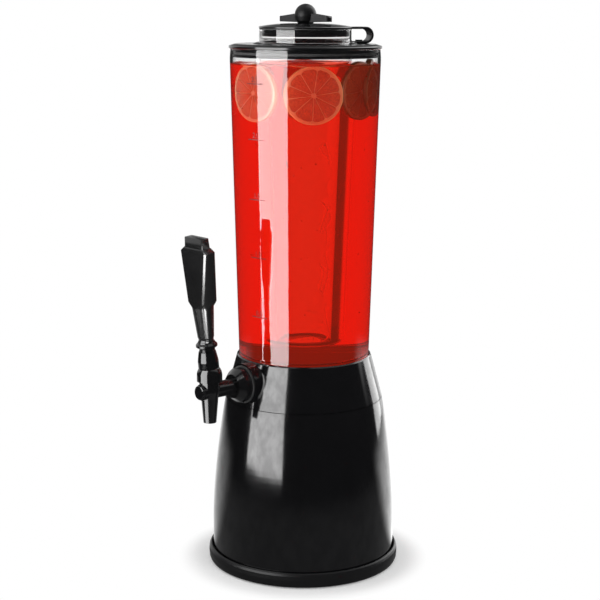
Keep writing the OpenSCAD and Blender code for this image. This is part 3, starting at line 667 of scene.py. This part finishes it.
class TOWER_OT_ice(bpy.types.Operator):
    """Stacks ice cubes in the ice tube"""

    bl_idname = "tower.ice"
    bl_label = "Make Ice"

    SEED = 11
    # middle of the first cube over the tube's floor, steps to the next (mm), end of the stack
    FIRST = 13 * MM
    STEPS = (17, 21)
    TOP_DROP = 16 * MM
    # share of an edge that is melted round, swelling of the faces (mm), width of the joins
    WEAR = 0.2
    SWELL = 1.6
    JOIN = 1.5 * MM
    # the round corner at the tube's closed end
    CORNER_H = 5 * MM
    CORNER_W = 8 * MM

    def execute(self, context):
        sizes = context.scene.tower_sizes
        dice = random.Random(self.SEED)
        noise.seed_set(self.SEED)
        worn = self.worn_cube(sizes.ice_edge)
        bm = bmesh.new()
        foot = BOX["ice_tube"][0].z + sizes.ice_wall
        height = foot + self.FIRST
        top = BOX["clear_tube"][1].z - self.TOP_DROP
        while height < top:
            self.add_cube(bm, worn, height, dice)
            height += dice.uniform(*self.STEPS) * MM
        bpy.data.meshes.remove(worn)
        frozen = self.freeze(bm)
        widening = (sizes.ice_neck_r - sizes.ice_foot_r) / (top - foot)
        for vert in frozen.verts:
            room = (sizes.ice_foot_r - sizes.ice_wall - sizes.ice_gap
                    + widening * (vert.co.z - foot))
            room -= max(0.0, foot + self.CORNER_H - vert.co.z) ** 2 / self.CORNER_W
            reach = vert.co.xy.length
            if reach > room:
                vert.co.xy *= room / reach
            vert.co.z = max(vert.co.z, foot + sizes.ice_gap)
        tidy(frozen)
        place_piece("ice_cubes", frozen, "lid", materials=[clear("ice", 1.06)])
        return {"FINISHED"}

    def freeze(self, bm):
        """Melts overlapping cubes together into one closed surface."""
        stack = show("stack", mesh_from("stack", bm))
        melt = stack.modifiers.new("melt", "REMESH")
        melt.mode = "VOXEL"
        melt.voxel_size = self.JOIN
        soften = stack.modifiers.new("soften", "SMOOTH")
        soften.factor = 0.5
        soften.iterations = 10
        bpy.context.view_layer.update()
        seen = bpy.context.evaluated_depsgraph_get()
        frozen = bmesh.new()
        frozen.from_mesh(bpy.data.meshes.new_from_object(stack.evaluated_get(seen)))
        bpy.data.objects.remove(stack)
        return frozen

    def worn_cube(self, edge):
        """A cube with its edges melted round."""
        bm = bmesh.new()
        bmesh.ops.create_cube(bm, size=edge)
        round_off(bm, bm.edges[:], self.WEAR * edge, 4)
        return mesh_from("worn_cube", bm)

    def add_cube(self, bm, worn, height, dice):
        """One cube of the stack, turned at random, its faces a little hollow or swollen."""
        first = len(bm.verts)
        bm.from_mesh(worn)
        bm.verts.ensure_lookup_table()
        turn = Matrix.Rotation(dice.uniform(0, ROUND), 3, "Z") @ Matrix.Rotation(
            dice.uniform(-0.5, 0.5), 3, "X") @ Matrix.Rotation(dice.uniform(-0.5, 0.5), 3, "Y")
        patch = Vector((dice.uniform(0, 9), dice.uniform(0, 9), dice.uniform(0, 9)))
        aside = towards(dice.uniform(0, ROUND), dice.uniform(0, 3) * MM, height)
        for vert in bm.verts[first:]:
            swollen = noise.noise_vector(vert.co * 50 + patch) * self.SWELL * MM
            vert.co = turn @ (vert.co + swollen) + aside


class TOWER_OT_citrus(bpy.types.Operator):
    """Leans citrus slices against the inside of the tube, at the top of the drink"""

    bl_idname = "tower.citrus"
    bl_label = "Make Citrus Slices"

    # name, turn from the front, mm below the drink's surface, spin, lean, and fruit colours: blood,
    # or a copy of it with painted light or painted shade
    SLICES = (
        ("slice_middle", 56.4, 23.5, 12, 2, "blood"),
        ("slice_left", 2.0, 22.4, 40, 2, "orange"),
        ("slice_right", 103.0, 20.5, 75, 3, "lime"),
        ("slice_far_right", 128.0, 19.0, 20, 4, "lime"),
        ("slice_back", 232.0, 22.0, 60, 3, "orange"),
    )
    # pale and deep flesh, pith, rind; every slice is the same fruit: orange is a lighter copy of
    # blood that paints the key light on its slices, lime a darker copy that paints shade on the
    # slices at the right
    FRUITS = {
        "blood": ((0.66, 0.075, 0.022), (0.44, 0.035, 0.008), (0.74, 0.20, 0.08),
                  (0.80, 0.34, 0.13)),
        # painted light: a lighter copy of the blood slice's colours
        "orange": ((0.66, 0.11, 0.03), (0.52, 0.06, 0.012), (0.74, 0.30, 0.15),
                   (0.80, 0.36, 0.14)),
        # painted shade: a darker copy of the blood slice's colours
        "lime": ((0.40, 0.065, 0.022), (0.26, 0.035, 0.011), (0.40, 0.08, 0.03),
                 (0.26, 0.07, 0.02)),
    }
    # gap to the tube's wall, rind, rind with pith, how far the flesh is sunk, proud and domed
    GAP = 0.4 * MM
    RIND_T = 0.8 * MM
    PEEL_T = 2.5 * MM
    SUNK = 0.4 * MM
    PROUD = 0.5 * MM
    DOME = 0.25 * MM
    SEGMENTS = 10

    def execute(self, context):
        sizes = context.scene.tower_sizes
        wet = {fruit: [peel(f"rind_{fruit}", rind, 0.15 * MM),
                       peel(f"pith_{fruit}", pith, 0.1 * MM),
                       flesh(f"flesh_{fruit}", pale, deep)]
               for fruit, (pale, deep, pith, rind) in self.FRUITS.items()}
        dice = random.Random(3)
        for name, azimuth, drop, spin, lean, fruit in self.SLICES:
            bm = self.cut_slice(sizes.slice_r, sizes.slice_t, dice)
            height = sizes.drink_level - drop * MM
            inside = tube_radius(height) - sizes.tube_wall
            reach = math.sqrt(inside ** 2 - sizes.slice_r ** 2) - sizes.slice_t / 2 - self.GAP
            turn = math.radians(azimuth)
            upright = Matrix.Rotation(math.radians(90 + lean), 4, "X")
            spun = Matrix.Rotation(math.radians(spin), 4, "Z")
            where = Matrix.Translation(towards(turn, reach, height)) @ Matrix.Rotation(turn, 4, "Z")
            bmesh.ops.transform(bm, matrix=where @ upright @ spun, verts=bm.verts)
            place_piece(name, bm, "tower", materials=wet[fruit], crease=35.0)
        return {"FINISHED"}

    def cut_slice(self, radius, thick, dice):
        """A slice in the XY plane: rind, pith, and segments that stand a little proud."""
        half = thick / 2
        pith_r = radius - self.RIND_T
        bulge = 0.015 * radius
        rim = [(radius - bulge * (1 - math.cos(a)), 0.96 * half * math.sin(a))
               for a in (math.radians(d) for d in range(-80, 81, 20))]
        outline = [(0.0, -half), (pith_r, -half)] + rim + [(pith_r, half), (0.0, half)]
        bm = lathe(outline, 96)
        for face in bm.faces:
            middle = face.calc_center_median()
            face.material_index = 0 if middle.xy.length > pith_r * 0.99 else 1
        even = ROUND / self.SEGMENTS
        walls = [even * (index + dice.uniform(-0.16, 0.16)) for index in range(self.SEGMENTS)]
        walls.append(walls[0] + ROUND)
        for side in (-1, 1):
            for start, end in zip(walls, walls[1:]):
                self.add_segment(bm, start, end, radius - self.PEEL_T, side * half, dice)
        bmesh.ops.recalc_face_normals(bm, faces=bm.faces)
        on_slice = bm.verts.layers.float_vector.new("on_slice")
        for vert in bm.verts:
            vert[on_slice] = vert.co
        return bm

    def add_segment(self, bm, start, end, reach, level, dice):
        """One closed segment of flesh that stands out of the slice's face."""
        side = math.copysign(1.0, level)
        skin = dice.uniform(0.22, 0.42) * MM
        core = dice.uniform(1.6, 2.8) * MM
        steps = 9
        rim = []
        for step in range(steps + 1):
            share = step / steps
            far = reach - dice.uniform(0.0, 0.35) * MM
            corner = 1.4 * MM * (2 * abs(share - 0.5)) ** 6
            trim = (skin / far) * (1 - 2 * share)
            rim.append((start + (end - start) * share + trim, far - corner))
        for near in (0.66, 0.33):
            rim.append((end - skin / (near * reach), near * reach))
        rim += [(end - skin / core * 0.6, core), (start + skin / core * 0.6, core)]
        for near in (0.33, 0.66):
            rim.append((start + skin / (near * reach), near * reach))
        sunk = level - side * self.SUNK
        low = [bm.verts.new((far * math.cos(turn), far * math.sin(turn), sunk))
               for turn, far in rim]
        base = bm.faces.new(low)
        grown = bmesh.ops.extrude_face_region(bm, geom=[base], use_keep_orig=True)["geom"]
        cap = [item for item in grown if isinstance(item, bmesh.types.BMFace)][0]
        bmesh.ops.translate(bm, vec=side * Vector((0, 0, self.PROUD)), verts=cap.verts)
        bmesh.ops.inset_region(bm, faces=[cap], thickness=0.3 * MM, depth=0.0,
                               use_even_offset=True)
        bmesh.ops.translate(bm, vec=side * Vector((0, 0, self.DOME)), verts=cap.verts)
        shell = {base, cap} | {f for v in [*low, *cap.verts] for f in v.link_faces}
        shell |= {f for face in list(shell) for v in face.verts for f in v.link_faces}
        for face in shell:
            face.material_index = 2


class TOWER_OT_scale(bpy.types.Operator):
    """Prints the litre scale on the outside of the tube"""

    bl_idname = "tower.scale"
    bl_label = "Print Scale"

    # number and height of its line in mm
    MARKS = (("2.5", 432.6), ("2.0", 385.9), ("1.5", 334.8), ("1.0", 284.5), ("0.5", 232.4))
    # the lines' ends, as turns from the front
    LINE_FROM = math.radians(0.5)
    LINE_TO = math.radians(16.8)
    LINE_T = 0.75 * MM
    NUMBER_OVER = 1.6 * MM
    # thickness of the ink, and how far it lies off the wall
    FILM = 0.04 * MM
    CLEAR = 0.005 * MM
    # height of a figure as a share of the font's size
    FIGURE = 0.7

    def execute(self, context):
        bm = bmesh.new()
        middle = (self.LINE_FROM + self.LINE_TO) / 2
        for number, height in self.MARKS:
            level = height * MM
            span = (self.LINE_TO - self.LINE_FROM) * tube_radius(level)
            self.stamp(bm, self.bar(span, self.LINE_T), middle, level)
            figures = self.digits(number, context.scene.tower_sizes.number_h)
            self.stamp(bm, figures, middle, level + self.NUMBER_OVER)
        bmesh.ops.recalc_face_normals(bm, faces=bm.faces)
        inked = ink("scale_ink", context.scene.tower_colours.ink)
        place_piece("printed_scale", bm, "tower", materials=[inked], crease=30.0)
        return {"FINISHED"}

    @staticmethod
    def bar(span, thick):
        """A flat line, cut into short lengths so that it can bend round the tube."""
        bm = bmesh.new()
        bmesh.ops.create_grid(bm, x_segments=24, y_segments=1, size=0.5)
        bmesh.ops.scale(bm, vec=(span, thick, 1), verts=bm.verts)
        return mesh_from("bar", bm)

    def digits(self, number, height):
        """A number as a flat mesh, centred, standing on y = 0."""
        curve = bpy.data.curves.new("digits", "FONT")
        curve.body = number
        curve.align_x = "CENTER"
        curve.size = height / self.FIGURE
        text = show("digits", curve)
        bpy.context.view_layer.update()
        mesh = bpy.data.meshes.new_from_object(text)
        bpy.data.objects.remove(text)
        return mesh

    def stamp(self, bm, flat, middle, level):
        """Bends a flat mesh round the tube's outer wall as a film of ink."""
        first = len(bm.verts)
        bm.from_mesh(flat)
        bpy.data.meshes.remove(flat)
        bm.verts.ensure_lookup_table()
        added = bm.verts[first:]
        faces = list({f for v in added for f in v.link_faces})
        for vert in added:
            height = level + vert.co.y
            radius = tube_radius(height)
            vert.co = towards(middle + vert.co.x / radius, radius + self.CLEAR, height)
        grown = bmesh.ops.extrude_face_region(bm, geom=faces)["geom"]
        for vert in [item for item in grown if isinstance(item, bmesh.types.BMVert)]:
            out = Vector((vert.co.x, vert.co.y, 0)).normalized()
            vert.co += out * self.FILM


class TOWER_OT_strap(bpy.types.Operator):
    """Makes the cap's strap as one ribbon that bends between the lid and the cap"""

    bl_idname = "tower.strap"
    bl_label = "Make Strap"

    WIDTH = 12.0 * MM
    THICK = 2.0 * MM
    AZIMUTH = math.radians(72)
    FOOT = 9.4 * MM
    EDGE_R = 0.6 * MM
    # distance of the bend from the tower's middle
    BEND_X = 55.2 * MM

    def execute(self, context):
        lid_top = BOX["lid"][1].z
        top = BOX["cap_strap"][1].z
        bend_z = (lid_top + top) / 2
        bend_x = self.BEND_X
        start_x = context.scene.tower_sizes.mouth_r - 0.3 * MM
        bm = bmesh.new()
        bmesh.ops.create_grid(bm, x_segments=1, y_segments=1, size=0.5)
        bmesh.ops.scale(bm, vec=(self.THICK, self.WIDTH, 1), verts=bm.verts)
        round_off(bm, bm.verts[:], self.EDGE_R, 3, affect="VERTICES")
        bmesh.ops.rotate(bm, cent=(0, 0, 0), matrix=Matrix.Rotation(math.pi / 2, 3, "Y"),
                         verts=bm.verts)
        bmesh.ops.translate(bm, vec=(start_x, 0, top - self.THICK / 2), verts=bm.verts)
        bmesh.ops.delete(bm, geom=bm.faces[:], context="FACES_ONLY")
        ring = bm.verts[:] + bm.edges[:]
        ring = self.sweep(bm, ring, 10, step=Vector(((bend_x - start_x) / 10, 0, 0)))
        ring = self.sweep(bm, ring, 28, centre=Vector((bend_x, 0, bend_z)), angle=math.pi)
        self.sweep(bm, ring, 8, step=Vector((-self.FOOT / 8, 0, 0)))
        ends = [edge for edge in bm.edges if edge.is_boundary]
        bmesh.ops.holes_fill(bm, edges=ends, sides=0)
        tidy(bm)
        bmesh.ops.rotate(bm, cent=(0, 0, 0), matrix=Matrix.Rotation(self.AZIMUTH, 3, "Z"),
                         verts=bm.verts)
        strap = place_piece("strap_ribbon", bm, None, "strap_black", crease=50.0,
                            stands_for="cap_strap")
        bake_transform(strap)
        return {"FINISHED"}

    @staticmethod
    def sweep(bm, ring, steps, step=None, centre=Vector(), angle=0.0):
        """Sweeps an open ring along a line or round a bend, and returns the last ring."""
        spun = bmesh.ops.spin(bm, geom=ring, cent=centre, axis=(0, 1, 0), angle=angle,
                              dvec=step or Vector(), steps=steps)
        return spun["geom_last"]


class TOWER_OT_bubbles(bpy.types.Operator):
    """Sets small bubbles on the inside of the tube"""

    bl_idname = "tower.bubbles"
    bl_label = "Make Bubbles"

    COUNT = 70

    def execute(self, context):
        sizes = context.scene.tower_sizes
        dice = random.Random(5)
        bm = bmesh.new()
        foot = wall_line()[0] + 8 * MM
        for _ in range(self.COUNT):
            height = dice.uniform(foot, sizes.drink_level - 4 * MM)
            size = dice.uniform(0.3, 0.75) * MM
            reach = tube_radius(height) - sizes.tube_wall - 1.3 * size
            at = Matrix.Translation(towards(dice.uniform(0, ROUND), reach, height))
            bmesh.ops.create_icosphere(bm, subdivisions=2, radius=size, matrix=at)
        place_piece("bubbles", bm, "tower", materials=[bubble()], crease=0)
        return {"FINISHED"}


# -------- stage

class TOWER_OT_stage(bpy.types.Operator):
    """Sets the camera, the floor, the lamps and the plain white studio"""

    bl_idname = "tower.stage"
    bl_label = "Make Stage"

    BOUNCES = 24
    # clear surfaces met by a ray that has been through the drink's middle
    DEEP = 5.5
    BELLS = ("upper_bell", "lower_bell")
    # name, place, aim, size, radiance and the pieces in whose gloss it shows
    CARDS = (
        ("bell_card", (-0.005, -0.47, 0.368), (-0.005, 0.0, 0.368), (0.43, 0.62), 3.0,
         BELLS),
        ("side_card", (0.03, 0.74, 0.13), (0.04, 0.04, 0.15), (0.32, 0.24), 4.5, BELLS),
        ("rear_card", (-0.26, 0.67, 0.07), (0.04, 0.04, 0.15), (0.30, 0.14), 1.2, BELLS),
        ("neck_card", (0.42, -0.31, 0.02), (0.0, -0.11, 0.23), (0.34, 0.50), 45.0,
         ("grip_moulding",)),
        ("spout_card", (0.0, -0.42, 0.005), (0.0, -0.42, 1.0), (0.30, 0.26), 11.0,
         ("tap_body",)),
    )
    SOFTBOX = ((-0.005, -0.5, 0.372), (-0.005, 0.0, 0.372), (0.455, 0.655))
    # name, place, aim, size and radiance of the lamps that no gloss shows
    LAMPS = (
        ("key", (-0.9, -1.1, 1.5), (0.0, 0.0, 0.25), (1.0, 1.0), 1.6),
        ("overhead", (0.1, 0.1, 1.9), (0.0, 0.0, 0.2), (1.6, 1.6), 0.5),
        ("fill", (1.5, -0.1, 0.9), (0.0, 0.0, 0.35), (0.9, 0.9), 2.2),
    )

    def execute(self, context):
        scene = context.scene
        stage = scene.tower_stage
        self.set_camera(scene, stage)
        self.light_studio(stage)
        self.lay_floor(stage)
        self.paint_world(scene, stage)
        scene.view_settings.view_transform = "Standard"
        scene.cycles.max_bounces = self.BOUNCES
        scene.cycles.transmission_bounces = self.BOUNCES
        scene.cycles.transparent_max_bounces = self.BOUNCES
        scene.cycles.glossy_bounces = 10
        return {"FINISHED"}

    @staticmethod
    def set_camera(scene, stage):
        optics = bpy.data.cameras.new("camera")
        optics.sensor_width = 36.0
        optics.lens = stage.lens
        optics.clip_start = 0.05
        optics.clip_end = 60.0
        camera = show("camera", optics)
        turned = (Matrix.Rotation(stage.heading, 4, "Z")
                  @ Matrix.Rotation(math.pi / 2 - stage.dip, 4, "X")
                  @ Matrix.Rotation(stage.roll, 4, "Z"))
        camera.matrix_world = Matrix.Translation(stage.camera_at) @ turned
        scene.camera = camera

    @staticmethod
    def path_masks(sheet):
        """Whether a ray comes straight from the camera, was mirrored, or was scattered."""
        seen = sheet.add("ShaderNodeLightPath")
        scattered = seen.other("Diffuse Depth") > 0.5
        mirrored = (seen.other("Glossy Depth") > 0.5) * (1.0 - scattered)
        return seen, mirrored, scattered

    @staticmethod
    def away(heading):
        """The level direction in which the camera looks."""
        return Vector((-math.sin(heading), math.cos(heading), 0))

    def compass(self, sheet, way, heading):
        """Of a direction: how far it goes to the rear and to the left, whether the ray has been
        right through the drink, and the white that such a ray meets to the left of the rear."""
        level = sheet.vector("NORMALIZE", sheet.vector("MULTIPLY", way, (1.0, 1.0, 0.0)))
        left = Vector((-math.cos(heading), -math.sin(heading), 0))
        rear, aside = (sheet.vector("DOT_PRODUCT", level, axis, out=1)
                       for axis in (self.away(heading), left))
        inside = sheet.add("ShaderNodeLightPath").other("Transmission Depth") > self.DEEP
        return rear, aside, inside, (rear + aside * 0.84).between(0.35, 0.55)

    def lay_floor(self, stage):
        """A wide white floor that keeps the shadow and fades into the backdrop."""
        bm = bmesh.new()
        bmesh.ops.create_circle(bm, cap_ends=True, segments=96, radius=12.0)
        floor = show("floor", mesh_from("floor", bm))
        sheet = finish_sheet("floor_white")
        seen, mirrored, scattered = self.path_masks(sheet)
        through = (1.0 - seen) * (1.0 - scattered) * (1.0 - mirrored)
        at = sheet.add("ShaderNodeTexCoord", out=3)
        reach = sheet.vector("LENGTH", at, out=1)
        rear, aside, inside, refracted = self.compass(sheet, at, stage.heading)
        matt = sheet.add("ShaderNodeBsdfDiffuse", {}, {"Color": (0.86, 0.86, 0.86, 1.0)})
        raised = sheet.add("ShaderNodeAddShader", {}, {0: matt, 1: sheet.light(0.18)})
        fade = reach.between(0.092, 0.116)
        lit = sheet.mix(seen * fade + through, sheet.mix(seen, matt, raised), sheet.light(1.0))
        near = 1.0 - reach.between(0.25, 0.60)
        beside = rear.between(0.10, 0.45) * (1.3 - aside * 0.6) * (1.0 - reach.between(0.5, 0.9))
        beside = beside * (abs(aside).between(0.2, 0.4) * 0.75 + 0.25)
        outer = near * 0.20 + beside + 0.02
        glossy = sheet.light(outer * (1.0 - inside) + (refracted * 0.94 + 0.06) * inside)
        floor.data.materials.append(sheet.end(Surface=sheet.mix(mirrored, lit, glossy)))

    @staticmethod
    def add_lamp(name, at, aim, size, radiance, unseen):
        """A lamp that shows to no camera, in no clear piece and to no ray of one more kind."""
        lamp = bpy.data.lights.new(name, "AREA")
        lamp.shape = "RECTANGLE"
        lamp.size, lamp.size_y = size
        lamp.energy = radiance * math.pi * size[0] * size[1]
        holder = show(name, lamp)
        holder.location = at
        holder.rotation_euler = (Vector(at) - Vector(aim)).to_track_quat("Z", "Y").to_euler()
        for ray in ("camera", "transmission", unseen):
            setattr(holder, f"visible_{ray}", False)
        return holder

    def light_studio(self, stage):
        for *card, pieces in self.CARDS:
            holder = self.add_lamp(*card, "diffuse")
            lit = bpy.data.collections.new(holder.name)
            for piece in pieces:
                lit.objects.link(bpy.data.objects[piece])
            holder.light_linking.receiver_collection = lit
        self.add_lamp("softbox", *self.SOFTBOX, stage.softbox, "diffuse")
        for lamp in self.LAMPS:
            self.add_lamp(*lamp, "glossy")

    def paint_world(self, scene, stage):
        """White to the eye, even light on matt pieces, and a dark studio in the gloss: lit above
        and behind but for its middle, with a rim panel to the right of the rear."""
        world = bpy.data.worlds.new("studio")
        scene.world = world
        sheet = NodeSheet(world)
        world.cycles.sampling_method = "NONE"
        _, mirrored, scattered = self.path_masks(sheet)
        way = sheet.add("ShaderNodeTexCoord")
        rear, aside, inside, refracted = self.compass(sheet, way, stage.heading)
        climb = sheet.add("ShaderNodeSeparateXYZ", {}, {0: way}, out=2)
        tilt = math.radians(59)
        lobe = self.away(stage.heading) * math.cos(tilt) + Vector((0, 0, math.sin(tilt)))
        facing = sheet.vector("DOT_PRODUCT", way, lobe, out=1)
        turn = stage.panel_turn
        rim = (rear * math.cos(turn) - aside * math.sin(turn)).between(0.88, 0.95)
        rim = rim * climb.between(0.04, 0.09) * stage.panel
        middle = (1.0 - abs(aside).between(0.1, 0.4)) * climb.between(0.05, 0.15)
        outer = facing.between(0.25, 0.40) * (1.0 - middle * 0.9) + rim
        studio = outer * (1.0 - inside) + refracted * inside + stage.studio
        level = ((1.0 - mirrored) * (1.0 - scattered) + mirrored * studio
                 + scattered * stage.ambient)
        sheet.end("ShaderNodeOutputWorld", Surface=sheet.add(
            "ShaderNodeBackground", {}, {"Color": WHITE, "Strength": level}))


class TOWER_PT_panel(bpy.types.Panel):
    """Lists the tower's pieces and their sizes"""

    bl_label = "Drinks Tower"
    bl_idname = "TOWER_PT_panel"
    bl_space_type = "VIEW_3D"
    bl_region_type = "UI"
    bl_category = "Tower"

    def draw(self, context):
        for operator in OPERATORS:
            self.layout.operator(operator.bl_idname)
        for name in GROUPS:
            box = self.layout.box()
            group = getattr(context.scene, name)
            for setting in group.__annotations__:
                box.prop(group, setting)


OPERATORS = (TOWER_OT_finishes, TOWER_OT_grip, TOWER_OT_clear_tubes, TOWER_OT_collar,
             TOWER_OT_drink, TOWER_OT_ice, TOWER_OT_citrus, TOWER_OT_scale, TOWER_OT_strap,
             TOWER_OT_bubbles, TOWER_OT_stage)
GROUPS = {"tower_sizes": TowerSizes, "tower_colours": TowerColours, "tower_stage": TowerStage}
CLASSES = (*GROUPS.values(), *OPERATORS, TOWER_PT_panel)


def register():
    for item in CLASSES:
        bpy.utils.register_class(item)
    for name, group in GROUPS.items():
        setattr(bpy.types.Scene, name, bpy.props.PointerProperty(type=group))


def unregister():
    for name in GROUPS:
        delattr(bpy.types.Scene, name)
    for item in reversed(CLASSES):
        bpy.utils.unregister_class(item)


def main():
    register()
    for operator in OPERATORS:
        group, name = operator.bl_idname.split(".")
        getattr(getattr(bpy.ops, group), name)()


if __name__ == "__main__":
    main()
